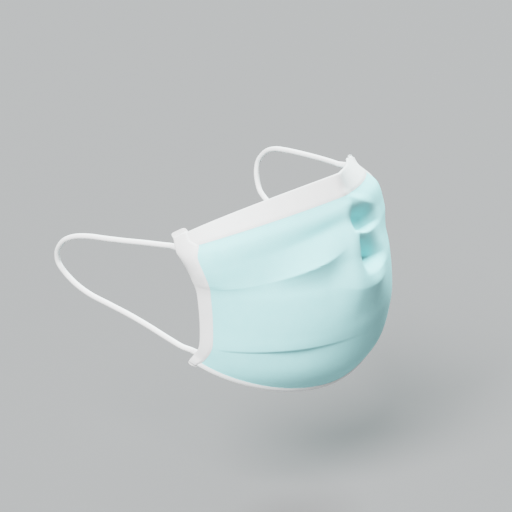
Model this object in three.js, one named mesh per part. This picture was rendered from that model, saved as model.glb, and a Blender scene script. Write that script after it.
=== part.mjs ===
import * as THREE from 'three';
import { ParametricGeometry } from 'three/addons/geometries/ParametricGeometry.js';
import { mergeVertices } from 'three/addons/utils/BufferGeometryUtils.js';

// Pleated face mask with ear loops, in the form it has when worn. Millimetres, +Z up.
// The mask looks along -Y, +X is the wearer's left, and the origin is the seat on the
// nose bridge, behind the middle of the top edge.

const CLOTH_THICKNESS = 1.2;
const BINDING_THICKNESS = 1.0;
const FIT_GAP = 0.45;
const LOOP_DIAMETER = 3.0;
const LOOP_SIDES = 8;
const LOOP_STEPS = 34;

// Half width of a binding's fold, from the middle of the cloth to the binding's outer face.
const FOLD_OUTER = CLOTH_THICKNESS / 2 + FIT_GAP + BINDING_THICKNESS;
const FOLD_INNER = CLOTH_THICKNESS / 2 + FIT_GAP;
const FOLD_MIDDLE = (FOLD_OUTER + FOLD_INNER) / 2;

// Width of the hem, and the side bands' tabs: how far they pass the corners and their corner radius.
// With no cloth inside, each side of a tab gets thinner by depth, between these distances past the corner.
const HEM_WIDTH = 3.4;
const RIGHT_TAB_RISE = 2.8;
const LEFT_TAB_RISE = 1.6;
const TAB_FALL = 2.0;
const TAB_RADIUS = 1.4;
const TAB_PINCH = { depth: 0.9, from: 0.2, to: 1.6 };
// Stations on a tab, in corner radii from its end.
const TAB_STATIONS = [0.25, 0.6, 1.0, 1.5, 2.1];
// The way the top tabs stand up from the corners, the right one leaning back further, and the length
// of a unit of v along them.
const RIGHT_TAB_WAY = new THREE.Vector3(0, 0.7, 0.7);
const LEFT_TAB_WAY = new THREE.Vector3(0.1, 0.35, 0.93);
const TAB_PACE = 90;

// The cloth ends inside the bindings: at this place across the sheet, and this far from its
// top and bottom edges, where it starts to draw in at these places down the sheet.
const CLOTH_SIDE = 0.972;
const CLOTH_INSET = 2.0;
const DRAW_IN_TOP = 0.17;
const DRAW_IN_BOTTOM = 0.745;
// Places down the sheet of the top band's lower edge and of the hem's ends. The ends of both butt
// against the side bands with a gap, and walls end bluntly over a short way across.
const BAND_LOWER_EDGE = 0.08;
const HEM_END_DOWN = 0.95;
const BUTT_GAP = 0.008;
const BLUNT = 0.004;

// Steps over which the slope of the smooth sheet, of the pleated sheet and of its edges is taken, and
// the distance within which corners count as one.
const SMOOTH_STEP = 0.002;
const PLEATED_STEP = 0.004;
const EDGE_STEP = 0.02;
const SAME_CORNER = 1e-4;

// Sections of the sheet from the top edge to the bottom edge. Each is a curve from the middle
// of the face to the side edge, mirrored for the other half. mid is forward, drop. nose, cheek
// and side are out, forward, drop. The nose and cheek points shape the curve between the ends.
const SECTIONS = [
  { at: 0, mid: [3.3, -0.7], nose: [23, -16.6, 10.4], cheek: [51, -34.3, 20.3], side: [67, -51.8, 32.6] },
  { at: 0.08, mid: [8, 10.8], nose: [23, -7, 20], cheek: [70, -28, 28.5], side: [67.5, -48.6, 38.7] },
  { at: 0.13, mid: [11.8, 15], nose: [22, -2, 26], cheek: [79, -23.5, 34], side: [67.5, -44.7, 41.7] },
  { at: 0.2, mid: [13.4, 23.5], nose: [22, 0.5, 36], cheek: [78, -19, 42.5], side: [67.3, -40.2, 47] },
  { at: 0.28, mid: [18, 32], nose: [23, 7, 49], cheek: [72, -15.6, 51.5], side: [67, -37.4, 52] },
  { at: 0.34, mid: [19.5, 43], nose: [26, 11.5, 53.5], cheek: [68, -14.6, 55], side: [66.5, -36.2, 55] },
  { at: 0.43, mid: [20, 61], nose: [30, 17, 60.5], cheek: [65.5, -13.8, 60], side: [66, -35.1, 60] },
  { at: 0.57, mid: [19.8, 75], nose: [32, 19.8, 75], cheek: [65, -12.8, 75], side: [65.5, -33.9, 75] },
  { at: 0.72, mid: [18, 88], nose: [33, 17.2, 88], cheek: [65.5, -11.8, 88], side: [65.5, -34.3, 89] },
  { at: 0.86, mid: [12.4, 107.6], nose: [34, 11.4, 107.4], cheek: [65, -14.1, 101], side: [65.5, -38, 95.5] },
  { at: 1, mid: [1.4, 122.4], nose: [34, 1.2, 121.6], cheek: [64.5, -16.6, 107], side: [66, -41.5, 100.5] },
];

// The ridge over the nose is rounded over this share of the half width.
const RIDGE_ROUNDING = 0.05;

// The top corner on the wearer's left is drawn in and up by its loop, and its end flares out. The
// shifts start at these places across and end at this one down.
const CORNER_SHIFT = new THREE.Vector3(-3.6, 0, 4.4);
const CORNER_FROM = 0.3;
const FLARE_SHIFT = new THREE.Vector3(2.9, -2.5, 0.2);
const FLARE_FROM = 0.82;
const CORNER_DOWN = 0.25;

// Shallow valley beside the nose on the wearer's right: s and v its middle, ds and dv its reach.
const VALLEY = { s: -0.15, v: 0.19, ds: 0.15, dv: 0.035, depth: 1.2 };

// Pockets beside the nose on the wearer's left. The cloth swells out to a pocket's top edge, slopes
// inward to its bottom edge and comes out again below. edges gives top, bottom, the reach of the swell
// above and the end below. slants says how top, bottom and start move with the place across or down.
// across gives where it starts, how far on it is full, where it fades and where it ends. A pocket is at
// least so high, and its start moves only so far down.
const POCKET_LEAST = 0.02;
const POCKET_DRIFT = 0.16;
const POCKETS = [
  {
    edges: [0.088, 0.238, 0.045, 0.02],
    slants: [0.2, -0.02, 0.3],
    swell: 1.2,
    depth: 5,
    across: [-0.07, 0.145, 0.21, 0.47],
  },
  {
    edges: [0.25, 0.332, 0.045, 0.055],
    slants: [-0.04, 0.09, 0.05],
    swell: 1.4,
    depth: 8,
    across: [0, 0.07, 0.19, 0.43],
  },
  {
    edges: [0.418, 0.62, 0.09, 0.01],
    slants: [0.11, 0, 0],
    swell: 3.8,
    depth: 0,
    across: [-0.21, 0.2, 0.075, 0.36],
  },
];

// The first pleat swells out to its lip, and the panel below starts behind that lip. On the wearer's
// right it is deep beside the nose and shallow towards the side. On the left it starts beyond the pockets.
// Its values near the nose and at the side: the drop to the foot, the rise of the lip, the height kept.
const FIRST_PLEAT = { start: 0.19, lip: 0.28, end: 0.56, swellPower: 1.5 };
const FIRST_SLANT = { right: 0.05, left: -0.08, leftEnd: 0.55 };
const FIRST_NEAR = { drop: 0.1, rise: 6.4, keep: 0.2 };
const FIRST_SIDE = { drop: 0.09, rise: 0.3, keep: -0.3, from: 0.25, to: 0.53 };
const FIRST_RIGHT = { from: 0.06, to: 0.24 };
const FIRST_LEFT = { from: 0.36, to: 0.62 };
// The second pleat ends in a lip, and the panel below it starts behind that lip. It shows most in one
// place on the wearer's right, and least on the left.
const SECOND_PLEAT = { start: 0.62, lip: 0.715, foot: 0.735, end: 0.84, rise: 0.5, depth: 1.1 };
const SECOND_SHARE = { most: -0.38, reach: 0.16, right: 0.3, left: 0.05, from: -0.26, to: 0 };
// The pleats flatten out towards the side bands.
const PLEAT_FADE = { from: 0.69, to: 0.89 };

// Front edge of the side bands, as a place across the sheet for each place down it.
const SIDE_BAND_FRONT = [
  { v: -0.1, s: 0.9 },
  { v: 0.0, s: 0.894 },
  { v: 0.05, s: 0.857 },
  { v: 0.08, s: 0.793 },
  { v: 0.1, s: 0.8 },
  { v: 0.13, s: 0.815 },
  { v: 0.2, s: 0.822 },
  { v: 0.26, s: 0.833 },
  { v: 0.35, s: 0.86 },
  { v: 0.42, s: 0.873 },
  { v: 0.7, s: 0.878 },
  { v: 0.9, s: 0.912 },
  { v: 1.1, s: 0.935 },
];

// How finely the sheet is divided: each span from one place to the next takes so many steps.
const ACROSS_SPANS = [
  { from: 0.0, to: 0.1, steps: 4 },
  { from: 0.1, to: 0.5, steps: 8 },
  { from: 0.5, to: 0.8, steps: 3 },
  { from: 0.8, to: CLOTH_SIDE - BLUNT, steps: 4 },
];
const DOWN_SPANS = [
  { from: 0.0, to: DRAW_IN_TOP, steps: 6 },
  { from: DRAW_IN_TOP, to: 0.43, steps: 13 },
  { from: 0.43, to: 0.7, steps: 5 },
  { from: 0.7, to: DRAW_IN_BOTTOM, steps: 4 },
  { from: DRAW_IN_BOTTOM, to: 1.0, steps: 6 },
];

// Routes of the ear loops, from under the top corner round to the bottom corner. The two hang
// a little differently.
const RIGHT_ROUTE = [
  { x: -62.7, y: 44.8, z: -37.4 },
  { x: -63.0, y: 49.0, z: -37.9 },
  { x: -65.6, y: 59.3, z: -39.5 },
  { x: -68.6, y: 71.3, z: -41.1 },
  { x: -71.6, y: 83.3, z: -42.9 },
  { x: -74.2, y: 95.9, z: -44.8 },
  { x: -75.6, y: 106.1, z: -46.5 },
  { x: -76.8, y: 115.8, z: -49.2 },
  { x: -77.3, y: 123.2, z: -53.0 },
  { x: -77.0, y: 128.5, z: -58.0 },
  { x: -76.4, y: 131.6, z: -62.7 },
  { x: -75.9, y: 132.6, z: -66.2 },
  { x: -75.3, y: 132.6, z: -70.0 },
  { x: -74.8, y: 131.1, z: -72.9 },
  { x: -73.7, y: 128.2, z: -76.5 },
  { x: -73.0, y: 121.2, z: -80.5 },
  { x: -72.3, y: 111.1, z: -83.4 },
  { x: -71.3, y: 96.7, z: -85.0 },
  { x: -70.0, y: 82.8, z: -86.8 },
  { x: -68.2, y: 69.5, z: -89.7 },
  { x: -66.0, y: 56.7, z: -93.4 },
  { x: -64.0, y: 47.5, z: -95.9 },
  { x: -61.3, y: 36.8, z: -95.9 },
  { x: -60.8, y: 32.6, z: -95.8 },
];
const LEFT_ROUTE = [
  { x: 60.8, y: 45.7, z: -32.1 },
  { x: 61.9, y: 48.9, z: -32.7 },
  { x: 63.1, y: 53.8, z: -32.9 },
  { x: 64.6, y: 59.5, z: -33.8 },
  { x: 67.6, y: 69.5, z: -36.0 },
  { x: 71.1, y: 82.8, z: -39.0 },
  { x: 73.8, y: 97.5, z: -42.0 },
  { x: 75.4, y: 108.3, z: -44.3 },
  { x: 76.4, y: 117.1, z: -46.6 },
  { x: 77.0, y: 124.0, z: -50.0 },
  { x: 77.2, y: 128.7, z: -54.6 },
  { x: 77.0, y: 131.2, z: -58.6 },
  { x: 76.5, y: 131.7, z: -62.3 },
  { x: 75.9, y: 131.4, z: -65.7 },
  { x: 75.4, y: 130.4, z: -69.0 },
  { x: 74.8, y: 128.9, z: -72.1 },
  { x: 74.0, y: 126.5, z: -74.8 },
  { x: 73.4, y: 122.4, z: -77.4 },
  { x: 72.8, y: 115.5, z: -80.3 },
  { x: 72.1, y: 105.5, z: -82.8 },
  { x: 71.2, y: 94.0, z: -84.8 },
  { x: 70.0, y: 82.0, z: -87.0 },
  { x: 68.2, y: 69.5, z: -89.7 },
  { x: 66.0, y: 56.7, z: -93.3 },
  { x: 64.0, y: 47.5, z: -95.9 },
  { x: 61.3, y: 36.8, z: -95.9 },
  { x: 60.8, y: 32.6, z: -95.8 },
];

const CURVES = SECTIONS.map(({ mid, nose, cheek, side }) => new THREE.CubicBezierCurve3(
  new THREE.Vector3(0, -mid[0], -mid[1]),
  new THREE.Vector3(nose[0], -nose[1], -nose[2]),
  new THREE.Vector3(cheek[0], -cheek[1], -cheek[2]),
  new THREE.Vector3(side[0], -side[1], -side[2]),
));

function bump(x) {
  return Math.exp(-x * x);
}

const { smoothstep: rise, clamp, lerp } = THREE.MathUtils;

function spread(spans) {
  const places = [spans[0].from];
  for (const { from, to, steps } of spans) {
    for (let i = 1; i <= steps; i += 1) {
      places.push(from + ((to - from) * i) / steps);
    }
  }
  return places;
}

// Slope of the sheet down through section i, at the same place across.
function slopeAt(points, i) {
  const a = Math.max(i - 1, 0);
  const b = Math.min(i + 1, points.length - 1);
  return points[b].clone().sub(points[a]).divideScalar(SECTIONS[b].at - SECTIONS[a].at);
}

const SIDE_EDGE = CURVES.map((curve) => curve.getPoint(1));

// Point of a section with the ridge in the middle rounded off.
function sectionPoint(curve, a) {
  const rounded = a < RIDGE_ROUNDING ? (a ** 2 / RIDGE_ROUNDING + RIDGE_ROUNDING) / 2 : a;
  return curve.getPoint(rounded).setX(curve.getPoint(a).x);
}

// Smooth sheet through the sections. Past its top edge it goes on the way the tabs stand, and past
// its bottom edge as its side edge does.
function smoothSheet(s, v) {
  const points = CURVES.map((curve) => sectionPoint(curve, Math.abs(s)));
  const last = points.length - 1;
  let point;
  if (v <= 0) {
    point = points[0].clone().addScaledVector(s < 0 ? RIGHT_TAB_WAY : LEFT_TAB_WAY, -v * TAB_PACE);
  } else if (v >= 1) {
    point = points[last].clone().addScaledVector(slopeAt(SIDE_EDGE, last), v - 1);
  } else {
    const i = SECTIONS.findIndex((section) => section.at > v) - 1;
    const span = SECTIONS[i + 1].at - SECTIONS[i].at;
    const t = (v - SECTIONS[i].at) / span;
    point = points[i].clone().multiplyScalar(2 * t ** 3 - 3 * t ** 2 + 1);
    point.addScaledVector(slopeAt(points, i), span * (t ** 3 - 2 * t ** 2 + t));
    point.addScaledVector(points[i + 1], 3 * t ** 2 - 2 * t ** 3);
    point.addScaledVector(slopeAt(points, i + 1), span * (t ** 3 - t ** 2));
  }
  if (s < 0) {
    point.x = -point.x;
  }
  const down = 1 - rise(v, 0, CORNER_DOWN);
  point.addScaledVector(CORNER_SHIFT, rise(s, CORNER_FROM, 1) * down);
  point.addScaledVector(FLARE_SHIFT, rise(s, FLARE_FROM, 1) * down);
  return point;
}

function pocketHeight({ edges, slants, swell, depth, across }, s, v) {
  const top = edges[0] + slants[0] * s;
  const bottom = Math.max(edges[1] + slants[1] * s, top + POCKET_LEAST);
  const share = clamp((v - top) / (bottom - top), 0, 1);
  const inward = (share + rise(share, 0, 1)) / 2;
  const out = swell * rise(v, top - edges[2], top) * (1 - share) ** 2;
  const deep = depth * inward * (1 - rise(v, bottom, bottom + edges[3]));
  const start = across[0] + slants[2] * clamp(v - top, 0, POCKET_DRIFT);
  return (out - deep) * rise(s, start, start + across[1]) * (1 - rise(s, across[2], across[3]));
}

function firstPleat(s, v) {
  const a = Math.abs(s);
  const side = rise(a, FIRST_SIDE.from, FIRST_SIDE.to);
  const { start, end, swellPower } = FIRST_PLEAT;
  const { right, left, leftEnd } = FIRST_SLANT;
  const lip = FIRST_PLEAT.lip + (s < 0 ? right * a : left * Math.min(a, leftEnd));
  const foot = lip + lerp(FIRST_NEAR.drop, FIRST_SIDE.drop, side);
  const top = lerp(FIRST_NEAR.rise, FIRST_SIDE.rise, side);
  const keep = lerp(FIRST_NEAR.keep, FIRST_SIDE.keep, side);
  const over = clamp((v - start) / (lip - start), 0, 1) ** swellPower;
  const past = 1 - (1 - clamp((v - lip) / (foot - lip), 0, 1)) ** 2;
  const height = top * over + (keep - top) * past - keep * rise(v, foot, end);
  const window = s < 0 ? FIRST_RIGHT : FIRST_LEFT;
  return height * rise(a, window.from, window.to);
}

function secondPleat(s, v) {
  const { start, lip, foot, end } = SECOND_PLEAT;
  const over = rise(v, start, lip) * (1 - rise(v, lip, foot));
  const under = rise(v, lip, foot) * (1 - rise(v, foot, end));
  const { most, reach, right, left, from, to } = SECOND_SHARE;
  const share = lerp(lerp(right, left, rise(s, from, to)), 1, bump((s - most) / reach));
  return share * (SECOND_PLEAT.rise * over - SECOND_PLEAT.depth * under);
}

// Height of the pleats, pockets and valley over the smooth sheet.
function relief(s, v) {
  const fade = 1 - rise(Math.abs(s), PLEAT_FADE.from, PLEAT_FADE.to);
  let height = (firstPleat(s, v) + secondPleat(s, v)) * fade;
  for (const pocket of POCKETS) {
    height += pocketHeight(pocket, s, v);
  }
  const valley = bump((s - VALLEY.s) / VALLEY.ds) * bump((v - VALLEY.v) / VALLEY.dv);
  return height - VALLEY.depth * valley;
}

function normalOf(sheet, s, v, step) {
  const inside = clamp(v, step, 1 - step);
  const across = sheet(s + step, inside).sub(sheet(s - step, inside));
  const down = sheet(s, inside + step).sub(sheet(s, inside - step));
  return down.cross(across).normalize();
}

function pleatedSheet(s, v) {
  return smoothSheet(s, v).addScaledVector(normalOf(smoothSheet, s, v, SMOOTH_STEP), relief(s, v));
}

// Point at a height off the middle of the cloth.
function offSheet(s, v, height) {
  return pleatedSheet(s, v).addScaledVector(normalOf(pleatedSheet, s, v, PLEATED_STEP), height);
}

// Closed body: shared corners joined, collapsed faces dropped, faces turned outwards.
function solid(geometry) {
  geometry.deleteAttribute('normal');
  geometry.deleteAttribute('uv');
  const joined = mergeVertices(geometry, SAME_CORNER);
  const index = joined.getIndex();
  const place = joined.getAttribute('position');
  const corners = [new THREE.Vector3(), new THREE.Vector3(), new THREE.Vector3()];
  const faces = [];
  let volume = 0;
  for (let i = 0; i < index.count; i += 3) {
    const face = [index.getX(i), index.getX(i + 1), index.getX(i + 2)];
    if (new Set(face).size === 3) {
      face.forEach((n, k) => corners[k].fromBufferAttribute(place, n));
      volume += corners[0].dot(corners[1].clone().cross(corners[2]));
      faces.push(face);
    }
  }
  joined.setIndex(faces.flatMap(([a, b, c]) => (volume > 0 ? [a, b, c] : [a, c, b])));
  joined.computeVertexNormals();
  return joined;
}

// Wall of cloth: an outer and an inner skin over the same stations, closed along every edge.
// skin(station, step, side) gives the outer face for side 1, the inner for -1 and the middle for 0.
function clothWall(stations, across, skin) {
  const ring = 2 * (across + 1);
  const last = stations.length - 1;
  const place = (u, v, target) => {
    const j = Math.round(v * last);
    const k = Math.round(u * ring) % ring;
    const outer = k <= across;
    const step = outer ? k : ring - 1 - k;
    const end = j === 0 || j === last;
    const face = outer ? 1 : -1;
    target.copy(skin(stations[j], step, end ? 0 : face));
  };
  return solid(new ParametricGeometry(place, ring, last));
}

// Section of a binding: a leaf, the fold round the edge, and the other leaf. Gives the distance
// from the folded edge and the height off the middle of the cloth, for a fold of that half width.
function foldSection(step, leafSteps, foldSteps, width, edge, half) {
  const folded = leafSteps + foldSteps;
  const seat = edge + FOLD_OUTER;
  if (step <= leafSteps) {
    return { inward: width + ((seat - width) * step) / leafSteps, height: half };
  }
  if (step >= folded) {
    return { inward: seat + ((width - seat) * (step - folded)) / leafSteps, height: -half };
  }
  const turn = (Math.PI * (step - leafSteps)) / foldSteps;
  return { inward: seat - half * Math.sin(turn), height: half * Math.cos(turn) };
}

function halfFold(side) {
  return FOLD_MIDDLE + (side * BINDING_THICKNESS) / 2;
}

function mirrored(places) {
  return [...places.slice(1).reverse().map((s) => -s), ...places];
}

// Stations with a blunt end each side: the end itself, and a place just inside it.
function bluntEnds(places, from, to, inset) {
  const inner = places.filter((place) => place > from + 2 * inset && place < to - 2 * inset);
  return [from, from + inset, ...inner, to - inset, to];
}

const ACROSS = mirrored(spread(ACROSS_SPANS));
const DOWN = spread(DOWN_SPANS);

// Length of the sheet for a unit of v, near its top edge or its bottom edge.
function paceDown(s, v) {
  const inside = v < 0.5 ? v + EDGE_STEP : v - EDGE_STEP;
  return pleatedSheet(s, v).distanceTo(pleatedSheet(s, inside)) / EDGE_STEP;
}

// Place down the cloth, which stops short of the sheet's top and bottom edges.
function clothDown(s, v) {
  const top = (CLOTH_INSET / paceDown(s, 0)) * Math.max(1 - v / DRAW_IN_TOP, 0);
  const bottom = (CLOTH_INSET / paceDown(s, 1)) * Math.max((v - DRAW_IN_BOTTOM) / (1 - DRAW_IN_BOTTOM), 0);
  return v + top - bottom;
}

function maskBody() {
  const stations = [-CLOTH_SIDE, ...ACROSS, CLOTH_SIDE];
  const skin = (s, step, side) => offSheet(s, clothDown(s, DOWN[step]), (side * CLOTH_THICKNESS) / 2);
  return clothWall(stations, DOWN.length - 1, skin);
}

function bandFront(v) {
  const i = Math.max(1, SIDE_BAND_FRONT.findIndex((row) => row.v > v));
  const a = SIDE_BAND_FRONT[i - 1];
  const b = SIDE_BAND_FRONT[i];
  return THREE.MathUtils.mapLinear(v, a.v, b.v, a.s, b.s);
}

// Binding over the top edge, between the side bands.
function topBand() {
  const leafSteps = 3;
  const foldSteps = 2;
  const end = bandFront(BAND_LOWER_EDGE) - BUTT_GAP;
  const skin = (s, step, side) => {
    const width = pleatedSheet(s, 0).distanceTo(pleatedSheet(s, BAND_LOWER_EDGE));
    const { inward, height } = foldSection(step, leafSteps, foldSteps, width, 0, halfFold(side));
    const v = (BAND_LOWER_EDGE * inward) / width;
    return offSheet((s * (bandFront(v) - BUTT_GAP)) / end, v, height);
  };
  return clothWall(bluntEnds(ACROSS, -end, end, BLUNT), 2 * leafSteps + foldSteps, skin);
}

// Narrow hem over the bottom edge, between the side bands.
function bottomHem() {
  const leafSteps = 1;
  const foldSteps = 2;
  const end = bandFront(HEM_END_DOWN) - BUTT_GAP;
  const skin = (s, step, side) => {
    const { inward, height } = foldSection(step, leafSteps, foldSteps, HEM_WIDTH, 0, halfFold(side));
    return offSheet(s, 1 - inward / paceDown(s, 1), height);
  };
  return clothWall(bluntEnds(ACROSS, -end, end, BLUNT), 2 * leafSteps + foldSteps, skin);
}

// Binding over a side edge, with a rounded tab past the top corner and the bottom corner.
function sideBand(half) {
  const leafSteps = 3;
  const foldSteps = 2;
  const bottomPace = smoothSheet(1, 1).distanceTo(smoothSheet(1, 1 + EDGE_STEP)) / EDGE_STEP;
  const top = -(half < 0 ? RIGHT_TAB_RISE : LEFT_TAB_RISE) / TAB_PACE;
  const bottom = 1 + TAB_FALL / bottomPace;
  const stations = [
    top,
    ...TAB_STATIONS.map((share) => top + (share * TAB_RADIUS) / TAB_PACE),
    ...DOWN.filter((v) => v > 0 && v < 1),
    ...TAB_STATIONS.map((share) => bottom - (share * TAB_RADIUS) / bottomPace),
    bottom,
  ];
  const skin = (v, step, side) => {
    const toEnd = Math.min((v - top) * TAB_PACE, (bottom - v) * bottomPace);
    const short = Math.max(TAB_RADIUS - toEnd, 0);
    const inset = TAB_RADIUS - Math.sqrt(TAB_RADIUS ** 2 - short ** 2);
    const past = Math.max(-v * TAB_PACE, (v - 1) * bottomPace);
    const fold = halfFold(side) - TAB_PINCH.depth * rise(past, TAB_PINCH.from, TAB_PINCH.to);
    const front = bandFront(v);
    const width = smoothSheet(1, v).distanceTo(smoothSheet(front, v));
    const { inward, height } = foldSection(step, leafSteps, foldSteps, width - inset, inset, fold);
    return offSheet(half * (1 - ((1 - front) * inward) / width), v, height);
  };
  return clothWall(stations.sort((a, b) => a - b), 2 * leafSteps + foldSteps, skin);
}

// Round elastic cord along a route.
function earLoop(places) {
  const route = new THREE.CatmullRomCurve3(places.map(({ x, y, z }) => new THREE.Vector3(x, y, z)));
  const round = new THREE.Shape();
  for (let i = 0; i < LOOP_SIDES; i += 1) {
    const turn = (2 * Math.PI * i) / LOOP_SIDES;
    const x = (LOOP_DIAMETER / 2) * Math.cos(turn);
    const y = (LOOP_DIAMETER / 2) * Math.sin(turn);
    if (i === 0) {
      round.moveTo(x, y);
    } else {
      round.lineTo(x, y);
    }
  }
  round.closePath();
  return new THREE.ExtrudeGeometry(round, { steps: LOOP_STEPS, extrudePath: route, bevelEnabled: false });
}

const mask = new THREE.Group();

function addPiece(name, geometry, color, roughness) {
  const mesh = new THREE.Mesh(geometry, new THREE.MeshStandardMaterial({ color, roughness, metalness: 0 }));
  mesh.name = name;
  mask.add(mesh);
}

const PALE_BLUE = 0xcfe6ea;
const WHITE = 0xe9ebea;
const HEM_WHITE = 0xdde4e5;
const CORD_WHITE = 0xf3f4f3;
const CLOTH_ROUGHNESS = 0.85;
const CORD_ROUGHNESS = 0.7;

addPiece('mask_body', maskBody(), PALE_BLUE, CLOTH_ROUGHNESS);
addPiece('top_band', topBand(), WHITE, CLOTH_ROUGHNESS);
addPiece('bottom_hem', bottomHem(), HEM_WHITE, CLOTH_ROUGHNESS);
addPiece('right_side_band', sideBand(-1), WHITE, CLOTH_ROUGHNESS);
addPiece('left_side_band', sideBand(1), WHITE, CLOTH_ROUGHNESS);
addPiece('right_ear_loop', earLoop(RIGHT_ROUTE), CORD_WHITE, CORD_ROUGHNESS);
addPiece('left_ear_loop', earLoop(LEFT_ROUTE), CORD_WHITE, CORD_ROUGHNESS);

export default mask;
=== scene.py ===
import math
from collections import namedtuple

import bmesh
import bpy
import numpy as np
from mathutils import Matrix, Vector


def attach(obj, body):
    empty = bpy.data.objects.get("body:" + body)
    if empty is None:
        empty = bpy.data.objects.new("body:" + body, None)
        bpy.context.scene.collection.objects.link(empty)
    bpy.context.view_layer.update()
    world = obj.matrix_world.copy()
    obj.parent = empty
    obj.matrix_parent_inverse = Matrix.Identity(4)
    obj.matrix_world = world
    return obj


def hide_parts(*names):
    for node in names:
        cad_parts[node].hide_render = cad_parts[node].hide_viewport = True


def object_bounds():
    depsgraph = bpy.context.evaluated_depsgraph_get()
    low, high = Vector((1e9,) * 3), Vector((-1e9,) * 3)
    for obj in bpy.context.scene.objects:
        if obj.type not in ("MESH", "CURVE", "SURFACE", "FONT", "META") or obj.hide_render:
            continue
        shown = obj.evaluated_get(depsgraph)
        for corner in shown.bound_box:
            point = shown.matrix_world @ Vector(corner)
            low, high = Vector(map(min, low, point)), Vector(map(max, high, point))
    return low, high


# Pleated face mask with ear loops, in the form it has when worn. Metres, +Z up. The mask looks along
# -Y, +X is the wearer's left, and the origin is the seat on the nose bridge, behind the middle of the
# top edge. A place on the cloth is s across it, from -1 at the right side edge to 1 at the left one,
# and v down it, from 0 at the top edge to 1 at the bottom edge.

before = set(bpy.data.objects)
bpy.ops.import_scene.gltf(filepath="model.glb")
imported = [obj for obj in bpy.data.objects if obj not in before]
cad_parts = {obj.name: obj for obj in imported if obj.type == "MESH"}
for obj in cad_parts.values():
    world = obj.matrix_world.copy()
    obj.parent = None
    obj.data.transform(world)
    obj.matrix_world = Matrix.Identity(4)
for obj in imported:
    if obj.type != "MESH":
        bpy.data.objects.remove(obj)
CAD_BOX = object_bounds()

# Camera at the photograph's angle, from the wearer's right and above. The lens is in millimetres.
VIEW_AZIMUTH = math.radians(-45.5)
VIEW_ELEVATION = math.radians(25.4)
VIEW_DISTANCE = 1.8
VIEW_AIM = Vector((-0.0414, 0.0165, -0.0397))
VIEW_LENS = 243.4

# Cloth, its bindings and the clearance between layers.
CLOTH_THICKNESS = 0.0008
BINDING_THICKNESS = 0.0004
LAYER_GAP = 0.0001
FOLD_INNER = CLOTH_THICKNESS / 2 + LAYER_GAP
FOLD_OUTER = FOLD_INNER + BINDING_THICKNESS
# A binding that passes over another one lies this much higher.
OVERLAP_LIFT = BINDING_THICKNESS + LAYER_GAP
# A binding's free edge is pressed to this share of its thickness, over this width and with this gap.
PRESSED_EDGE = 0.3
PRESSED_WIDTH = 0.0016
PRESSED_GAP = 0.00003

# Width of the hem, and the side bands' tabs: how far they pass the corners and their corner radius.
HEM_WIDTH = 0.0034
RIGHT_TAB_RISE = 0.0028
LEFT_TAB_RISE = 0.0016
TAB_FALL = 0.0020
TAB_RADIUS = 0.0014
# The way the top tabs stand up from the corners, where the right one leans back further, and their
# length for a unit of v.
RIGHT_TAB_WAY = (0.0, 0.7, 0.7)
LEFT_TAB_WAY = (0.1, 0.35, 0.93)
TAB_PACE = 0.090
# The two leaves of a tab close up between these distances past the corner.
TAB_CLOSING = (-0.0006, 0.0008)

# The cloth ends inside the bindings: at this place across, and this far from its top and bottom edges,
# where it starts to draw in at these places down.
CLOTH_SIDE = 0.972
CLOTH_INSET = 0.0016
DRAW_IN_TOP = 0.17
DRAW_IN_BOTTOM = 0.745
# The top band reaches down to this place. It and the hem run on under the side bands to these places
# across, and between these places down the side bands come off the one and rise onto the other.
BAND_LOWER_EDGE = 0.08
TOP_BAND_END = 0.955
HEM_END = 0.955
OFF_TOP_BAND = (0.085, 0.2)
ONTO_HEM = (0.86, 0.95)

# Sections of the sheet from the top edge to the bottom edge. Each is a curve from the middle of the
# face to the side edge, mirrored for the other half. mid is forward, drop. nose, cheek and side are
# out, forward, drop. The nose and cheek points shape the curve between the ends.
Section = namedtuple("Section", "at mid nose cheek side")
SECTIONS = [
    Section(0.00, (0.0033, -0.0007), (0.023, -0.0166, 0.0104),
            (0.0510, -0.0343, 0.0203), (0.0670, -0.0518, 0.0326)),
    Section(0.08, (0.0080, 0.0108), (0.023, -0.0070, 0.0200),
            (0.0700, -0.0280, 0.0285), (0.0675, -0.0486, 0.0387)),
    Section(0.13, (0.0118, 0.0150), (0.022, -0.0020, 0.0260),
            (0.0790, -0.0235, 0.0340), (0.0675, -0.0447, 0.0417)),
    Section(0.20, (0.0134, 0.0235), (0.022, 0.0005, 0.0360),
            (0.0780, -0.0190, 0.0425), (0.0673, -0.0402, 0.0470)),
    Section(0.28, (0.0180, 0.0320), (0.023, 0.0070, 0.0490),
            (0.0720, -0.0156, 0.0515), (0.0670, -0.0374, 0.0520)),
    Section(0.34, (0.0195, 0.0430), (0.026, 0.0115, 0.0535),
            (0.0680, -0.0146, 0.0550), (0.0665, -0.0362, 0.0550)),
    Section(0.43, (0.0200, 0.0610), (0.030, 0.0170, 0.0605),
            (0.0655, -0.0138, 0.0600), (0.0660, -0.0351, 0.0600)),
    Section(0.57, (0.0198, 0.0750), (0.032, 0.0198, 0.0750),
            (0.0650, -0.0128, 0.0750), (0.0655, -0.0339, 0.0750)),
    Section(0.72, (0.0180, 0.0880), (0.033, 0.0172, 0.0880),
            (0.0655, -0.0118, 0.0880), (0.0655, -0.0343, 0.0890)),
    Section(0.86, (0.0124, 0.1076), (0.034, 0.0114, 0.1074),
            (0.0650, -0.0141, 0.1010), (0.0655, -0.0380, 0.0955)),
    Section(1.00, (0.0014, 0.1224), (0.034, 0.0012, 0.1216),
            (0.0645, -0.0166, 0.1070), (0.0660, -0.0415, 0.1005)),
]
# The ridge over the nose is rounded over this share of the half width.
RIDGE_ROUNDING = 0.05

# The top corner on the wearer's left is drawn in and up by its loop, from these places across and down.
CORNER_SHIFT = (-0.0036, 0.0, 0.0044)
CORNER_FROM = 0.3
CORNER_DOWN = 0.25
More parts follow.
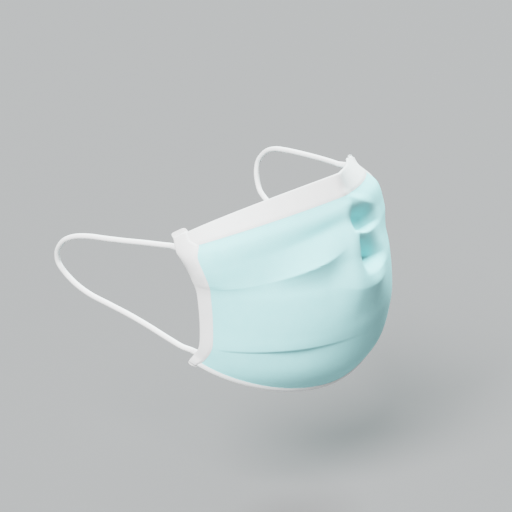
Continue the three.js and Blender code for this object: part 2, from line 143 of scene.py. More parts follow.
# Its end flares out from this place across.
FLARE_SHIFT = (0.0029, -0.0025, 0.0002)
FLARE_FROM = 0.82

# Shallow valley beside the nose on the wearer's right: its middle, its reach and its depth.
VALLEY_S = -0.15
VALLEY_V = 0.19
VALLEY_REACH_S = 0.15
VALLEY_REACH_V = 0.035
VALLEY_DEPTH = 0.0012

# Pockets beside the nose on the wearer's left. The cloth swells out to a pocket's top edge over its
# reach, slopes inward to its bottom edge and comes out again below. The edges slant with the place
# across, and the pocket starts and fades there.
Pocket = namedtuple(
    "Pocket", "top top_slant bottom bottom_slant below reach swell depth start start_slant full fade end"
)
POCKETS = [
    Pocket(0.088, 0.200, 0.238, -0.02, 0.020, 0.045, 0.0012, 0.0050, -0.07, 0.30, 0.145, 0.210, 0.47),
    Pocket(0.250, -0.040, 0.332, 0.09, 0.055, 0.045, 0.0014, 0.0080, 0.00, 0.05, 0.070, 0.190, 0.43),
    Pocket(0.418, 0.110, 0.620, 0.00, 0.010, 0.090, 0.0038, 0.0000, -0.21, 0.00, 0.200, 0.075, 0.36),
]
# Its edges keep this far apart, and its start slants over this much of its way down.
POCKET_LEAST = 0.02
POCKET_DRIFT = 0.16

# The first pleat swells out to its lip, by this power of the way there, and the panel below starts
# behind that lip. The lip slants with the place across, on the wearer's left as far as a place there.
FIRST_START = 0.19
FIRST_LIP = 0.28
FIRST_END = 0.56
FIRST_SWELL = 1.5
RIGHT_SLANT = 0.05
LEFT_SLANT = -0.08
LEFT_SLANT_END = 0.55
# It is deep beside the nose and shallow from the second of these places on: the way down from its lip
# to its foot, and its height at the lip and at the foot.
SIDE_FROM = 0.25
SIDE_TO = 0.53
PleatSize = namedtuple("PleatSize", "drop rise keep")
FIRST_AT_NOSE = PleatSize(0.10, 0.0064, 0.0002)
FIRST_AT_SIDE = PleatSize(0.09, 0.0003, -0.0003)
# Places across where it comes in, on the wearer's left beyond the pockets.
FIRST_IN_RIGHT = (0.06, 0.24)
FIRST_IN_LEFT = (0.36, 0.62)
# The second pleat ends in a lip, and the panel below it starts behind that lip.
PLEAT_START = 0.62
PLEAT_LIP = 0.715
PLEAT_FOOT = 0.735
PLEAT_END = 0.84
PLEAT_RISE = 0.0005
PLEAT_DEPTH = 0.0011
# It shows most in one place on the wearer's right, and otherwise by a share for each half, which
# changes over between two places across.
MOST_AT = -0.38
MOST_REACH = 0.16
RIGHT_SHARE = 0.30
LEFT_SHARE = 0.05
SHARE_CHANGE = (-0.26, 0.0)
# The pleats flatten out towards the side bands.
FADE_FROM = 0.69
FADE_TO = 0.89

# Front edge of the side bands: the place across for each place down.
BandFront = namedtuple("BandFront", "v s")
BAND_FRONT = [
    BandFront(-0.1, 0.9),
    BandFront(0.0, 0.894),
    BandFront(0.05, 0.857),
    BandFront(0.08, 0.793),
    BandFront(0.1, 0.8),
    BandFront(0.13, 0.815),
    BandFront(0.2, 0.822),
    BandFront(0.26, 0.833),
    BandFront(0.35, 0.86),
    BandFront(0.42, 0.873),
    BandFront(0.7, 0.878),
    BandFront(0.9, 0.912),
    BandFront(1.1, 0.935),
]

# How finely the sheet is divided: each span from one place to the next takes so many steps.
Span = namedtuple("Span", "start end steps")
ACROSS_SPANS = [
    Span(0.0, 0.5, 52),
    Span(0.5, 0.8, 22),
    Span(0.8, CLOTH_SIDE, 12),
]
DOWN_SPANS = [
    Span(0.0, 0.14, 28),
    Span(0.14, 0.43, 84),
    Span(0.43, 0.70, 34),
    Span(0.70, 0.75, 26),
    Span(0.75, 1.0, 36),
]
# The side bands are divided more finely at the tabs, which end at these places down.
TOP_TAB_FOOT = 0.02
BOTTOM_TAB_HEAD = 0.97
TOP_TAB_STEPS = 26
SIDE_BAND_STEPS = 150
BOTTOM_TAB_STEPS = 23
# Stations along the top band and the hem, and steps over a binding's leaf and round its fold. The steps
# of a leaf crowd towards its free edge by this power.
EDGE_STATIONS = 241
LEAF_STEPS = 14
HEM_LEAF_STEPS = 6
FOLD_STEPS = 10
LEAF_CROWDING = 1.5
# Steps for the slopes of the smooth sheet and of the pleated one, and for its length near an edge.
SMOOTH_STEP = 0.002
PLEATED_STEP = 0.003
PACE_STEP = 0.02
# Edges that turn by more than this show as creases.
CREASE_ANGLE = math.radians(55)

# Ear loops: round knitted elastic. Wales run along it, with stitches in them, and both lower its surface
# by their shares of the stitch depth.
LOOP_DIAMETER = 0.003
LOOP_SIDES = 30
LOOP_RING_STEP = 0.0004
LOOP_WALES = 10
STITCH_PITCH = 0.0012
STITCH_DEPTH = 0.05
MEAN_SHARE = 0.5
WALE_SHARE = 0.35
STITCH_SHARE = 0.15
# Both ends are welded flat to the inner face of the side bands: the length that is flat, where the cord
# is round again, its thickness and width there as shares of its diameter, and its shift outward.
WELD_LENGTH = 0.004
WELD_FADE = 0.013
WELD_THIN = 0.5
WELD_WIDE = 1.35
WELD_SHIFT = 0.0022

# Routes of the ear loops, from under the top corner round to the bottom corner, and the steps from one
# point to the next. The two hang a little differently.
ROUTE_STEPS = 60
RIGHT_ROUTE = [
    (-0.0627, 0.0448, -0.0374),
    (-0.0630, 0.0490, -0.0379),
    (-0.0656, 0.0593, -0.0395),
    (-0.0686, 0.0713, -0.0411),
    (-0.0716, 0.0833, -0.0429),
    (-0.0742, 0.0959, -0.0448),
    (-0.0756, 0.1061, -0.0465),
    (-0.0768, 0.1158, -0.0492),
    (-0.0773, 0.1232, -0.0530),
    (-0.0770, 0.1285, -0.0580),
    (-0.0764, 0.1316, -0.0627),
    (-0.0759, 0.1326, -0.0662),
    (-0.0753, 0.1326, -0.0700),
    (-0.0748, 0.1311, -0.0729),
    (-0.0737, 0.1282, -0.0765),
    (-0.0730, 0.1212, -0.0805),
    (-0.0723, 0.1111, -0.0834),
    (-0.0713, 0.0967, -0.0850),
    (-0.0700, 0.0828, -0.0868),
    (-0.0682, 0.0695, -0.0897),
    (-0.0660, 0.0567, -0.0934),
    (-0.0640, 0.0475, -0.0959),
    (-0.0613, 0.0368, -0.0959),
    (-0.0608, 0.0326, -0.0958),
]
LEFT_ROUTE = [
    (0.0608, 0.0457, -0.0321),
    (0.0619, 0.0489, -0.0327),
    (0.0631, 0.0538, -0.0329),
    (0.0646, 0.0595, -0.0338),
    (0.0676, 0.0695, -0.0360),
    (0.0711, 0.0828, -0.0390),
    (0.0738, 0.0975, -0.0420),
    (0.0754, 0.1083, -0.0443),
    (0.0764, 0.1171, -0.0466),
    (0.0770, 0.1240, -0.0500),
    (0.0772, 0.1287, -0.0546),
    (0.0770, 0.1312, -0.0586),
    (0.0765, 0.1317, -0.0623),
    (0.0759, 0.1314, -0.0657),
    (0.0754, 0.1304, -0.0690),
    (0.0748, 0.1289, -0.0721),
    (0.0740, 0.1265, -0.0748),
    (0.0734, 0.1224, -0.0774),
    (0.0728, 0.1155, -0.0803),
    (0.0721, 0.1055, -0.0828),
    (0.0712, 0.0940, -0.0848),
    (0.0700, 0.0820, -0.0870),
    (0.0682, 0.0695, -0.0897),
    (0.0660, 0.0567, -0.0933),
    (0.0640, 0.0475, -0.0959),
    (0.0613, 0.0368, -0.0959),
    (0.0608, 0.0326, -0.0958),
]

# Fibre webs: the colour where the fibres lie thick and where they lie thin, and the pitch of the bond
# points.
Web = namedtuple("Web", "tint shade pitch")
BLUE_WEB = Web((0.43, 0.90, 0.93), (0.40, 0.87, 0.90), 0.0011)
WHITE_WEB = Web((0.82, 0.82, 0.815), (0.78, 0.79, 0.79), 0.0009)
# The hem's web is a bluish white. It is made lighter than the other bindings' webs as painted light that
# lifts the shade on its downward face.
LIGHTENED_HEM_WEB = Web((0.88, 0.90, 0.90), (0.84, 0.87, 0.87), 0.0009)
WEB_ROUGHNESS = 0.88
WEB_SHEEN = 0.08
# The bond points lie in a slanting lattice, and each is a dimple whose rim lies between two shares of
# the pitch. Fibres and clouds of them are so many to a metre. The colours change over a range of
# densities.
BOND_SLANT = math.radians(45)
DIMPLE_RIM = (0.16, 0.36)
FIBRES_PER_METRE = 2400.0
FIBRE_DETAIL = 4.0
FIBRE_ROUGHNESS = 0.65
CLOUDS_PER_METRE = 190.0
CLOUD_DETAIL = 3.0
WEB_DENSITY = (0.12, 0.38)
# Height of the fibres against the dimples, and how strong and how deep the relief of both is.
FIBRE_HEIGHT = 0.6
WEB_RELIEF = 0.35
WEB_DEPTH = 0.00008

# Elastic yarn: its colours, its finish, its fineness and its relief.
YARN_TINT = (0.94, 0.94, 0.935)
YARN_SHADE = (0.88, 0.89, 0.89)
YARN_ROUGHNESS = 0.75
YARN_SHEEN = 0.2
YARNS_PER_METRE = 3200.0
YARN_DETAIL = 3.0
YARN_DENSITY = (0.3, 0.6)
YARN_RELIEF = 0.4
YARN_DEPTH = 0.0001

# Fibres scatter their sheen this widely and shine this little.
SHEEN_ROUGHNESS = 0.45
SPECULAR_LEVEL = 0.25

# Studio: a pale floor well below the mask, and soft lights placed round the point the camera aims at.
FLOOR_DROP = 0.070
FLOOR_SIZE = 40.0
FLOOR_COLOUR = (0.132, 0.125, 0.126, 1)
FLOOR_ROUGHNESS = 0.9
LIGHT_DISTANCE = 2.0
Light = namedtuple("Light", "name azimuth elevation spread strength colour")
LIGHTS = [
    Light("key_light", -70, 50, 28, 9.7, (1.0, 1.0, 1.0)),
    Light("rim_light", 112, 47, 26, 10.4, (0.84, 1.0, 1.0)),
]
WORLD_COLOUR = (0.93, 0.96, 1.0, 1.0)
WORLD_STRENGTH = 0.035


def place_round(azimuth, elevation, away):
    """Point that far from the aim point. Azimuth 0 is in front of the mask, 90 degrees on its left."""
    level = math.cos(elevation)
    way = Vector((math.sin(azimuth) * level, -math.cos(azimuth) * level, math.sin(elevation)))
    return VIEW_AIM + way * away


def aim(obj):
    obj.rotation_euler = (VIEW_AIM - obj.location).to_track_quat("-Z", "Y").to_euler()


def add_object(name, data):
    obj = bpy.data.objects.new(name, data)
    bpy.context.scene.collection.objects.link(obj)
    return obj


def make_camera():
    data = bpy.data.cameras.new("camera")
    data.lens = VIEW_LENS
    camera = add_object("camera", data)
    camera.location = place_round(VIEW_AZIMUTH, VIEW_ELEVATION, VIEW_DISTANCE)
    aim(camera)
    bpy.context.scene.camera = camera


def smoothstep(x, low, high):
    t = np.clip((x - low) / (high - low), 0, 1)
    return t * t * (3 - 2 * t)


def mix(a, b, t):
    return a + (b - a) * t


def bump(x):
    return np.exp(-x * x)


def unit(vectors):
    return vectors / np.linalg.norm(vectors, axis=-1, keepdims=True)


def distance(a, b):
    return np.linalg.norm(a - b, axis=-1)


def spread(spans):
    """Places along spans that follow one another."""
    places = [np.linspace(span.start, span.end, span.steps, endpoint=False) for span in spans]
    return np.append(np.concatenate(places), spans[-1].end)


def mirrored(places):
    """Places from the middle to one side, and the same to the other side."""
    return np.concatenate([-places[:0:-1], places])


SECTION_AT = np.array([row.at for row in SECTIONS])
SECTION_CORNERS = np.array([
    [(0.0, -row.mid[0], -row.mid[1])]
    + [(out, -forward, -drop) for out, forward, drop in (row.nose, row.cheek, row.side)]
    for row in SECTIONS
])


def slopes_down(points):
    """Slope of the sheet down through each section, at the same places across."""
    last = len(SECTION_AT) - 1
    before = np.maximum(np.arange(last + 1) - 1, 0)
    after = np.minimum(np.arange(last + 1) + 1, last)
    return (points[after] - points[before]) / (SECTION_AT[after] - SECTION_AT[before])[:, None, None]


# Slope of the side edge at the bottom corners.
SIDE_SLOPE = slopes_down(SECTION_CORNERS[:, 3:])[-1, 0]


def rounded(a):
    """Place from the middle to the side with the ridge in the middle rounded off."""
    return np.where(a < RIDGE_ROUNDING, (a * a / RIDGE_ROUNDING + RIDGE_ROUNDING) / 2, a)


def section_weights(a):
    """Weights of a section's four points at a place on its curve."""
    return np.stack([(1 - a) ** 3, 3 * a * (1 - a) ** 2, 3 * a * a * (1 - a), a ** 3])


def smooth_sheet(s, v):
    """Points of the smooth sheet through the sections, at places s across and v down it. Past its top
    edge it goes on the way the tabs stand, and past its bottom edge as its side edge does."""
    s, v = np.broadcast_arrays(s, v)
    shape = s.shape
    s, v = s.ravel(), v.ravel()
    a = np.abs(s)
    points = np.einsum("rkc,kn->rnc", SECTION_CORNERS, section_weights(rounded(a)))
    points[:, :, 0] = SECTION_CORNERS[:, :, 0] @ section_weights(a)
    slopes = slopes_down(points)
    i = np.clip(np.searchsorted(SECTION_AT, v, side="right") - 1, 0, len(SECTION_AT) - 2)
    n = np.arange(len(s))
    span = (SECTION_AT[i + 1] - SECTION_AT[i])[:, None]
    t = np.clip((v - SECTION_AT[i])[:, None] / span, 0, 1)
    place = (2 * t ** 3 - 3 * t ** 2 + 1) * points[i, n] + (3 * t ** 2 - 2 * t ** 3) * points[i + 1, n]
    place += span * ((t ** 3 - 2 * t ** 2 + t) * slopes[i, n] + (t ** 3 - t ** 2) * slopes[i + 1, n])
    tab_way = np.where((s < 0)[:, None], RIGHT_TAB_WAY, LEFT_TAB_WAY)
    place += tab_way * (np.maximum(-v, 0) * TAB_PACE)[:, None]
    place += SIDE_SLOPE * np.maximum(v - 1, 0)[:, None]
    place[:, 0] *= np.where(s < 0, -1, 1)
    near_top = 1 - smoothstep(v, 0, CORNER_DOWN)
    corner = smoothstep(s, CORNER_FROM, 1) * near_top
    place += CORNER_SHIFT * corner[:, None]
    flare = smoothstep(s, FLARE_FROM, 1) * near_top
    place += FLARE_SHIFT * flare[:, None]
    return place.reshape(*shape, 3)


def pockets(s, v):
    height = 0
    for row in POCKETS:
        top = row.top + row.top_slant * s
        bottom = np.maximum(row.bottom + row.bottom_slant * s, top + POCKET_LEAST)
        inward = np.clip((v - top) / (bottom - top), 0, 1)
        swell = row.swell * smoothstep(v, top - row.reach, top) * (1 - inward) ** 2
        inward = (inward + smoothstep(inward, 0, 1)) / 2
        depth = row.depth * inward * (1 - smoothstep(v, bottom, bottom + row.below))
        start = row.start + row.start_slant * np.clip(v - top, 0, POCKET_DRIFT)
        window = smoothstep(s, start, start + row.full) * (1 - smoothstep(s, row.fade, row.end))
        height = height + (swell - depth) * window
    return height


def first_pleat(s, v):
    a = np.abs(s)
    side = smoothstep(a, SIDE_FROM, SIDE_TO)
    lip = FIRST_LIP + np.where(s < 0, RIGHT_SLANT * a, LEFT_SLANT * np.minimum(a, LEFT_SLANT_END))
    foot = lip + mix(FIRST_AT_NOSE.drop, FIRST_AT_SIDE.drop, side)
    rise = mix(FIRST_AT_NOSE.rise, FIRST_AT_SIDE.rise, side)
    keep = mix(FIRST_AT_NOSE.keep, FIRST_AT_SIDE.keep, side)
    over = np.clip((v - FIRST_START) / (lip - FIRST_START), 0, 1) ** FIRST_SWELL
    past = 1 - (1 - np.clip((v - lip) / (foot - lip), 0, 1)) ** 2
    height = rise * over + (keep - rise) * past - keep * smoothstep(v, foot, FIRST_END)
    return height * np.where(s < 0, smoothstep(a, *FIRST_IN_RIGHT), smoothstep(s, *FIRST_IN_LEFT))


def second_pleat(s, v):
    over = smoothstep(v, PLEAT_START, PLEAT_LIP) * (1 - smoothstep(v, PLEAT_LIP, PLEAT_FOOT))
    under = smoothstep(v, PLEAT_LIP, PLEAT_FOOT) * (1 - smoothstep(v, PLEAT_FOOT, PLEAT_END))
    share = mix(RIGHT_SHARE, LEFT_SHARE, smoothstep(s, *SHARE_CHANGE))
    share = mix(share, 1, bump((s - MOST_AT) / MOST_REACH))
    return share * (PLEAT_RISE * over - PLEAT_DEPTH * under)


def valley(s, v):
    return VALLEY_DEPTH * bump((s - VALLEY_S) / VALLEY_REACH_S) * bump((v - VALLEY_V) / VALLEY_REACH_V)


def relief(s, v):
    """Height of the pleats, pockets and valley over the smooth sheet."""
    fade = 1 - smoothstep(np.abs(s), FADE_FROM, FADE_TO)
    return (first_pleat(s, v) + second_pleat(s, v)) * fade + pockets(s, v) - valley(s, v)


def normal_of(sheet, s, v, step):
    """Outward normal of a sheet, from slopes taken over a step."""
    inside = np.clip(v, step, 1 - step)
    across = sheet(s + step, inside) - sheet(s - step, inside)
    down = sheet(s, inside + step) - sheet(s, inside - step)
    return unit(np.cross(down, across))


def pleated_sheet(s, v):
    """Points of the middle of the cloth."""
    return smooth_sheet(s, v) + normal_of(smooth_sheet, s, v, SMOOTH_STEP) * relief(s, v)[..., None]


def off_sheet(s, v, height):
    """Points at a height off the middle of the cloth."""
    s, v, height = np.broadcast_arrays(s, v, height)
    return pleated_sheet(s, v) + normal_of(pleated_sheet, s, v, PLEATED_STEP) * height[..., None]


def pace_down(s, edge):
    """Length of the sheet for a unit of v, near its top edge at 0 or its bottom edge at 1."""
    inside = abs(edge - PACE_STEP)
    ends = [pleated_sheet(s, np.full_like(s, v)) for v in (edge, inside)]
    return distance(*ends) / PACE_STEP


def band_front(v):
    return np.interp(v, [row.v for row in BAND_FRONT], [row.s for row in BAND_FRONT])


def add_piece(name, mesh, material, node):
    """Object for a finished mesh, in place of a CAD node."""
    mesh.materials.append(material)
    mesh.shade_smooth()
    mesh.set_sharp_from_angle(angle=CREASE_ANGLE)
    obj = add_object(name, mesh)
    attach(obj, "root")
    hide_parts(node)
    return obj


def grid_faces(index):
    corners = (index[:-1, :-1], index[:-1, 1:], index[1:, 1:], index[1:, :-1])
    return np.stack(corners, axis=-1).reshape(-1, 4)


def paint_uv(mesh, uv):
    """Gives every corner the flat place of its vertex, in metres."""
    layer = mesh.uv_layers.new(name="flat_cloth")
    vertex = np.empty(len(mesh.loops), dtype=np.int32)
    mesh.loops.foreach_get("vertex_index", vertex)
    layer.uv.foreach_set("vector", uv[vertex].astype(np.float32).ravel())


def flat_places(points):
    """Flat place of each point of a grid: its distance along its row and down its column."""
    across = np.cumsum(distance(points[:, 1:], points[:, :-1]), axis=1)
    across = np.concatenate([np.zeros((len(points), 1)), across], axis=1)
    across -= across[:, -1:] / 2
    down = np.cumsum(distance(points[1:], points[:-1]), axis=0)
    down = np.concatenate([np.zeros((1, points.shape[1])), down], axis=0)
    return np.stack([across, down], axis=-1)


def add_shell(name, outer, inner, material, node):
    """Piece that is a closed sheet between an outer and an inner grid of points."""
    rows, columns = outer.shape[:2]
    front = np.arange(rows * columns).reshape(rows, columns)
    back = front + rows * columns
    rim = np.concatenate([front[0, :-1], front[:-1, -1], front[-1, :0:-1], front[:0:-1, 0]])
    after = np.roll(rim, -1)
    edge = np.stack([rim, rim + rows * columns, after + rows * columns, after], axis=-1)
    faces = np.concatenate([grid_faces(front), grid_faces(back)[:, ::-1], edge])
    points = np.concatenate([outer.reshape(-1, 3), inner.reshape(-1, 3)])
    mesh = bpy.data.meshes.new(name)
    mesh.from_pydata(points.tolist(), [], faces.tolist())
    shape = bmesh.new()
    shape.from_mesh(mesh)
    bmesh.ops.recalc_face_normals(shape, faces=shape.faces)
    shape.to_mesh(mesh)
    shape.free()
    flat = flat_places(outer).reshape(-1, 2)
    paint_uv(mesh, np.concatenate([flat, flat]))
    return add_piece(name, mesh, material, node)


def make_body(material):
    s = mirrored(spread(ACROSS_SPANS))[None, :]
    v = spread(DOWN_SPANS)[:, None]
    top = CLOTH_INSET / pace_down(s, 0) * np.maximum(1 - v / DRAW_IN_TOP, 0)
    bottom = CLOTH_INSET / pace_down(s, 1) * np.maximum((v - DRAW_IN_BOTTOM) / (1 - DRAW_IN_BOTTOM), 0)
    down = v + top - bottom
    outer = off_sheet(s, down, CLOTH_THICKNESS / 2)
    inner = off_sheet(s, down, -CLOTH_THICKNESS / 2)
    return add_shell("mask_cloth", outer, inner, material, "mask_body")


def fold_faces(width, edge, inner, outer, leaf_steps):
    """Section of a binding at each station: a leaf, the fold round the edge and the other leaf. For its
    outer and its inner face it gives the distance from the folded edge and the height off the middle of
    the cloth. The leaves end at width and the fold at edge. inner and outer are the fold's radii."""
    leaf = np.linspace(0, 1, leaf_steps + 1) ** LEAF_CROWDING
    turn = np.linspace(0, np.pi, FOLD_STEPS + 1)[1:-1]
    seat = edge + outer
    leaf_in = mix(width, seat, leaf)
    off_edge = smoothstep(width - leaf_in, 0, PRESSED_WIDTH)
    pressed = mix(PRESSED_EDGE, 1, off_edge)
    seated = np.minimum(PRESSED_GAP + CLOTH_THICKNESS / 2, inner)
    low = mix(seated, inner, off_edge)
    faces = []
    for half, share in ((outer, pressed), (inner, 0 * pressed)):
        high = low + (outer - inner) * share
        inward = np.concatenate([leaf_in, seat - half * np.sin(turn), leaf_in[:, ::-1]], axis=1)
        height = np.concatenate([high, half * np.cos(turn), -high[:, ::-1]], axis=1)
        faces.append((inward, height))
    return faces


def make_top_band(material):
    s = np.linspace(-TOP_BAND_END, TOP_BAND_END, EDGE_STATIONS)[:, None]
    edge = np.zeros_like(s)
    width = distance(pleated_sheet(s, edge), pleated_sheet(s, edge + BAND_LOWER_EDGE))
    faces = fold_faces(width, edge, FOLD_INNER + edge, FOLD_OUTER + edge, LEAF_STEPS)
    outer, inner = [off_sheet(s, BAND_LOWER_EDGE * inward / width, height) for inward, height in faces]
    return add_shell("top_binding", outer, inner, material, "top_band")


def make_hem(material):
    s = np.linspace(-HEM_END, HEM_END, EDGE_STATIONS)[:, None]
    edge = np.zeros_like(s)
    pace = pace_down(s, 1)
    faces = fold_faces(HEM_WIDTH + edge, edge, FOLD_INNER + edge, FOLD_OUTER + edge, HEM_LEAF_STEPS)
    outer, inner = [off_sheet(s, 1 - inward / pace, height) for inward, height in faces]
    return add_shell("hem_strip", outer, inner, material, "bottom_hem")


def make_side_band(name, node, half, tab_rise, material):
    """Side band of one half, -1 for the wearer's right and 1 for the left."""
    bottom_pace = np.linalg.norm(SIDE_SLOPE)
    top = -tab_rise / TAB_PACE
    bottom = 1 + TAB_FALL / bottom_pace
    v = spread([
        Span(top, TOP_TAB_FOOT, TOP_TAB_STEPS),
        Span(TOP_TAB_FOOT, BOTTOM_TAB_HEAD, SIDE_BAND_STEPS),
        Span(BOTTOM_TAB_HEAD, bottom, BOTTOM_TAB_STEPS),
    ])[:, None]
    to_end = np.minimum((v - top) * TAB_PACE, (bottom - v) * bottom_pace)
    short = np.maximum(TAB_RADIUS - to_end, 0)
    inset = TAB_RADIUS - np.sqrt(TAB_RADIUS ** 2 - short ** 2)
    past = np.maximum(-v * TAB_PACE, (v - 1) * bottom_pace)
    lift = OVERLAP_LIFT * (1 - smoothstep(v, *OFF_TOP_BAND) + smoothstep(v, *ONTO_HEM))
    fold = mix(PRESSED_GAP, FOLD_INNER + lift, 1 - smoothstep(past, *TAB_CLOSING))
    front = band_front(v)
    width = distance(smooth_sheet(1 + 0 * v, v), smooth_sheet(front, v))
    faces = fold_faces(width - inset, inset, fold, fold + BINDING_THICKNESS, LEAF_STEPS)
    outer, inner = [
        off_sheet(half * (1 - (1 - front) * inward / width), v + 0 * inward, height)
        for inward, height in faces
    ]
    return add_shell(name, outer, inner, material, node)


def smooth_route(route):
    """Evenly spaced points on a smooth curve through a route's points, and how far along they are."""
    points = np.array(route)
    points = np.concatenate([[2 * points[0] - points[1]], points, [2 * points[-1] - points[-2]]])
    knots = np.concatenate([[0], np.cumsum(np.sqrt(distance(points[1:], points[:-1])))])
    fine = []
    for i in range(1, len(points) - 2):
        t = np.linspace(knots[i], knots[i + 1], ROUTE_STEPS, endpoint=i == len(points) - 3)[:, None]
        k = knots[i - 1:i + 3]
        p = points[i - 1:i + 3]
        a = [((k[j + 1] - t) * p[j] + (t - k[j]) * p[j + 1]) / (k[j + 1] - k[j]) for j in range(3)]
        b = [((k[j + 2] - t) * a[j] + (t - k[j]) * a[j + 1]) / (k[j + 2] - k[j]) for j in range(2)]
        fine.append(((k[2] - t) * b[0] + (t - k[1]) * b[1]) / (k[2] - k[1]))
    fine = np.concatenate(fine)
    along = np.concatenate([[0], np.cumsum(distance(fine[1:], fine[:-1]))])
    places = np.linspace(0, along[-1], round(along[-1] / LOOP_RING_STEP) + 1)
    return np.stack([np.interp(places, along, fine[:, axis]) for axis in range(3)], axis=1), places


def make_loop(name, node, route, half, material):
    """Ear loop of one half, -1 for the wearer's right and 1 for the left."""
    path, along = smooth_route(route)
    to_end = np.minimum(along, along[-1] - along)
    weld = 1 - smoothstep(to_end, WELD_LENGTH, WELD_FADE)
    path = path + np.outer(weld, (half * WELD_SHIFT, 0, 0))
    way = unit(np.gradient(path, axis=0))
    out = unit(np.array((1.0, 0, 0)) - way * way[:, :1])
    aside = np.cross(way, out)
    turn = np.linspace(0, 2 * np.pi, LOOP_SIDES, endpoint=False)[None, :]
    wale = np.cos(LOOP_WALES * turn)
    side_phase = np.pi * np.sign(np.sin(LOOP_WALES * turn / 2))
    stitch = np.cos(2 * np.pi * along[:, None] / STITCH_PITCH + side_phase)
    lowered = STITCH_DEPTH * (MEAN_SHARE - WALE_SHARE * wale - STITCH_SHARE * stitch)
    radius = LOOP_DIAMETER / 2 * (1 - lowered)
    thin = (radius * mix(1, WELD_THIN, weld[:, None]) * np.cos(turn))[..., None]
    wide = (radius * mix(1, WELD_WIDE, weld[:, None]) * np.sin(turn))[..., None]
    rings = path[:, None] + out[:, None] * thin + aside[:, None] * wide
    count = len(path)
    index = np.arange(count * LOOP_SIDES).reshape(count, LOOP_SIDES)
    tube = grid_faces(np.concatenate([index, index[:, :1]], axis=1))
    caps = [index[0, ::-1].tolist(), index[-1].tolist()]
    mesh = bpy.data.meshes.new(name)
    mesh.from_pydata(rings.reshape(-1, 3).tolist(), [], tube.tolist() + caps)
    uv = np.stack(np.broadcast_arrays(turn * LOOP_DIAMETER / 2, along[:, None]), axis=-1)
    paint_uv(mesh, uv.reshape(-1, 2))
    obj = add_piece(name, mesh, material, node)
    return obj


def new_material(name, roughness, sheen):
    """Material, its node tree and its shader."""
    material = bpy.data.materials.new(name)
    material.use_nodes = True
    shader = material.node_tree.nodes["Principled BSDF"]
    shader.inputs["Roughness"].default_value = roughness
    shader.inputs["Sheen Weight"].default_value = sheen
    shader.inputs["Sheen Roughness"].default_value = SHEEN_ROUGHNESS
    shader.inputs["Specular IOR Level"].default_value = SPECULAR_LEVEL
    return material, material.node_tree, shader


def add_node(tree, kind, links=(), **settings):
    """New node. links pair its inputs with output sockets or values, and settings are its properties."""
    made = tree.nodes.new(kind)
    for key, value in settings.items():
        setattr(made, key, value)
    for name, source in links:
        if isinstance(source, bpy.types.NodeSocket):
            tree.links.new(source, made.inputs[name])
        else:
            made.inputs[name].default_value = source
    return made


def colour_by(tree, shader, density, ends, shade, tint):
    """Colours the surface from shade to tint as the density goes from one end to the other."""
    colour = add_node(tree, "ShaderNodeValToRGB", [("Fac", density)])
    for stop, end, shown in zip(colour.color_ramp.elements, ends, (shade, tint)):
        stop.position = end
        stop.color = (*shown, 1)
    tree.links.new(colour.outputs["Color"], shader.inputs["Base Color"])


def raise_by(tree, shader, height, strength, depth):
    raised = add_node(tree, "ShaderNodeBump", [
        ("Strength", strength),
        ("Distance", depth),
        ("Height", height),
    ])
    tree.links.new(raised.outputs["Normal"], shader.inputs["Normal"])


def nonwoven(name, web):
    """Spunbonded fibre web: a lattice of bond points, fine tangled fibres and a cloudy density."""
    material, tree, shader = new_material(name, WEB_ROUGHNESS, WEB_SHEEN)
    place = add_node(tree, "ShaderNodeTexCoord")
    lattice = add_node(tree, "ShaderNodeMapping", [
        ("Vector", place.outputs["UV"]),
        ("Rotation", (0, 0, BOND_SLANT)),
        ("Scale", (1 / web.pitch, 1 / web.pitch, 1)),
    ])
    bonds = add_node(tree, "ShaderNodeTexVoronoi", [
        ("Vector", lattice.outputs["Vector"]),
        ("Scale", 1.0),
        ("Randomness", 0.0),
    ], voronoi_dimensions="2D")
    dimple = add_node(tree, "ShaderNodeMapRange", [
        ("Value", bonds.outputs["Distance"]),
        ("From Min", DIMPLE_RIM[0]),
        ("From Max", DIMPLE_RIM[1]),
    ], interpolation_type="SMOOTHSTEP")
    fibres = add_node(tree, "ShaderNodeTexNoise", [
        ("Vector", place.outputs["Object"]),
        ("Scale", FIBRES_PER_METRE),
        ("Detail", FIBRE_DETAIL),
        ("Roughness", FIBRE_ROUGHNESS),
    ])
    clouds = add_node(tree, "ShaderNodeTexNoise", [
        ("Vector", place.outputs["Object"]),
        ("Scale", CLOUDS_PER_METRE),
        ("Detail", CLOUD_DETAIL),
    ])
    density = add_node(tree, "ShaderNodeMath", [
        (0, clouds.outputs["Fac"]),
        (1, fibres.outputs["Fac"]),
    ], operation="MULTIPLY")
    height = add_node(tree, "ShaderNodeMath", [
        (0, fibres.outputs["Fac"]),
        (1, FIBRE_HEIGHT),
        (2, dimple.outputs["Result"]),
    ], operation="MULTIPLY_ADD")
    colour_by(tree, shader, density.outputs["Value"], WEB_DENSITY, web.shade, web.tint)
    raise_by(tree, shader, height.outputs["Value"], WEB_RELIEF, WEB_DEPTH)
    return material


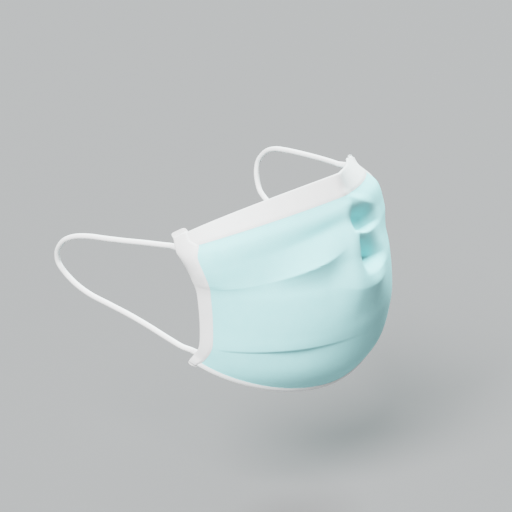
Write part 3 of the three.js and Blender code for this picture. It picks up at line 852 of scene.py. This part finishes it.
def knitted(name):
    """Knitted elastic: soft yarn over the stitches that the cord's own shape has."""
    material, tree, shader = new_material(name, YARN_ROUGHNESS, YARN_SHEEN)
    place = add_node(tree, "ShaderNodeTexCoord")
    yarn = add_node(tree, "ShaderNodeTexNoise", [
        ("Vector", place.outputs["Object"]),
        ("Scale", YARNS_PER_METRE),
        ("Detail", YARN_DETAIL),
    ])
    colour_by(tree, shader, yarn.outputs["Fac"], YARN_DENSITY, YARN_SHADE, YARN_TINT)
    raise_by(tree, shader, yarn.outputs["Fac"], YARN_RELIEF, YARN_DEPTH)
    return material


def make_floor():
    material, _, shader = new_material("studio_floor", FLOOR_ROUGHNESS, 0.0)
    shader.inputs["Base Color"].default_value = FLOOR_COLOUR
    half = FLOOR_SIZE / 2
    level = CAD_BOX[0].z - FLOOR_DROP
    mesh = bpy.data.meshes.new("floor")
    corners = [(-half, -half, level), (half, -half, level), (half, half, level), (-half, half, level)]
    mesh.from_pydata(corners, [], [(0, 1, 2, 3)])
    mesh.materials.append(material)
    add_object("floor", mesh)


def make_lights():
    for row in LIGHTS:
        data = bpy.data.lights.new(row.name, "SUN")
        data.angle = math.radians(row.spread)
        data.energy = row.strength
        data.color = row.colour
        lamp = add_object(row.name, data)
        azimuth = math.radians(row.azimuth)
        elevation = math.radians(row.elevation)
        lamp.location = place_round(azimuth, elevation, LIGHT_DISTANCE)
        aim(lamp)
    world = bpy.data.worlds.new("studio")
    world.use_nodes = True
    sky = world.node_tree.nodes["Background"]
    sky.inputs["Color"].default_value = WORLD_COLOUR
    sky.inputs["Strength"].default_value = WORLD_STRENGTH
    scene = bpy.context.scene
    scene.world = world
    scene.view_settings.view_transform = "Filmic"


make_camera()

elastic_cord = knitted("elastic_cord")
right_loop = make_loop("right_loop", "right_ear_loop", RIGHT_ROUTE, -1, elastic_cord)
left_loop = make_loop("left_loop", "left_ear_loop", LEFT_ROUTE, 1, elastic_cord)

blue_cloth = nonwoven("blue_cloth", BLUE_WEB)
white_binding = nonwoven("white_binding", WHITE_WEB)
hem_binding = nonwoven("hem_binding", LIGHTENED_HEM_WEB)

body = make_body(blue_cloth)
top_binding = make_top_band(white_binding)
hem_strip = make_hem(hem_binding)
right_binding = make_side_band("right_binding", "right_side_band", -1, RIGHT_TAB_RISE, white_binding)
left_binding = make_side_band("left_binding", "left_side_band", 1, LEFT_TAB_RISE, white_binding)

make_floor()
make_lights()
